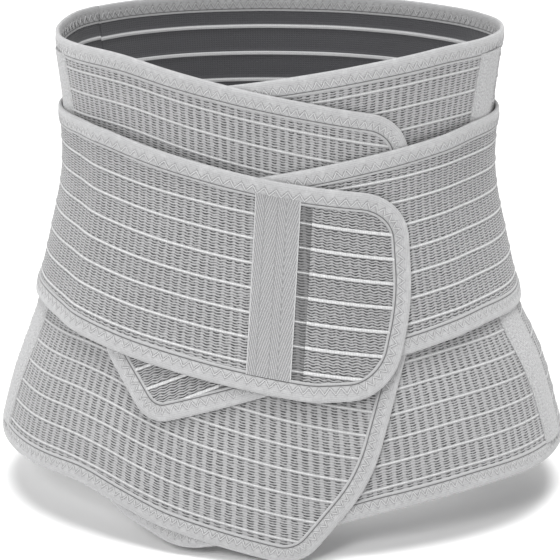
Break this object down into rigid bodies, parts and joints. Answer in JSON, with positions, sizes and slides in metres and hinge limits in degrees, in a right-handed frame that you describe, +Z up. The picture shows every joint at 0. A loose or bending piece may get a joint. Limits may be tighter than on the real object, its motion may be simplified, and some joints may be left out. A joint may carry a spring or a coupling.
{
  "type": "lumbar support belt",
  "caption": "Waist-high elastic back brace with a boned back panel, two overlapping front wings and two outer tension bands with rounded ends.",
  "frame": {"origin": "on the standing surface, under the middle of the belt", "axes": "+Z up; -Y is the front where the wings and bands close; +X is the right side as seen from the front"},
  "size_m": [0.358, 0.2735, 0.296],
  "materials": {
    "ribbed_knit": "ribbed elastic knit, light grey with dark floats",
    "band_knit": "ribbed elastic band, light grey",
    "end_knit": "ribbed knit backed with hook tape",
    "lining_cloth": "charcoal mesh lining with pale stripes",
    "binding_tape": "folded elastic binding, zigzag stitched",
    "casing_tape": "smooth woven casing tape",
    "hook_tape": "hook side of hook and loop tape",
    "herringbone_tape": "herringbone woven tape",
    "bone_steel": "flat spring steel"
  },
  "bodies": {
    "back": {"back_panel": "ribbed_knit", "back_lining": "lining_cloth", "back_binding_top": "binding_tape", "back_binding_bottom": "binding_tape", "left_back_inner_casing": "casing_tape", "left_back_inner_stay": "bone_steel", "left_back_outer_casing": "casing_tape", "left_back_outer_stay": "bone_steel", "right_back_inner_casing": "casing_tape", "right_back_inner_stay": "bone_steel", "right_back_outer_casing": "casing_tape", "right_back_outer_stay": "bone_steel", "left_band_anchor": "band_knit", "right_band_anchor": "band_knit"},
    "left_wing": {"left_wing_panel": "ribbed_knit", "left_wing_lining": "lining_cloth", "left_wing_binding": "binding_tape", "left_wing_hook": "hook_tape", "left_side_casing": "casing_tape", "left_side_stay": "bone_steel"},
    "right_wing": {"right_wing_panel": "ribbed_knit", "right_wing_lining": "lining_cloth", "right_wing_binding": "binding_tape", "right_side_casing": "casing_tape", "right_side_stay": "bone_steel"},
    "left_band": {"left_band_panel": "band_knit", "left_band_end_panel": "end_knit", "left_band_hook": "hook_tape", "left_band_binding": "binding_tape", "left_hand_tape": "herringbone_tape"},
    "right_band": {"right_band_panel": "band_knit", "right_band_end_panel": "end_knit", "right_band_hook": "hook_tape", "right_band_binding": "binding_tape", "right_hand_tape": "herringbone_tape"}
  },
  "joints": [
    {"name": "left_band_open", "type": "hinge", "parent": "back", "child": "left_band", "pos_m": [-0.13783, 0.0634, 0.12], "axis": [-0.1369, 0.0617, -0.9887], "range_deg": [0, 110]},
    {"name": "right_band_open", "type": "hinge", "parent": "back", "child": "right_band", "pos_m": [0.13458, 0.06144, 0.12], "axis": [-0.1369, -0.0617, 0.9887], "range_deg": [0, 80]},
    {"name": "left_wing_open", "type": "hinge", "parent": "back", "child": "left_wing", "pos_m": [-0.16412, 0.06326, 0.02], "axis": [-0.1441, 0.0551, -0.988], "range_deg": [0, 58]},
    {"name": "right_wing_open", "type": "hinge", "parent": "back", "child": "right_wing", "pos_m": [0.16181, 0.06208, 0.02], "axis": [-0.1441, -0.0551, 0.988], "range_deg": [0, 41]}
  ],
  "couplings": [
    {"joint": "right_band_open", "follows": "left_band_open", "ratio": 0.72},
    {"joint": "left_wing_open", "follows": "left_band_open", "ratio": 0.52},
    {"joint": "right_wing_open", "follows": "left_band_open", "ratio": 0.37}
  ]
}
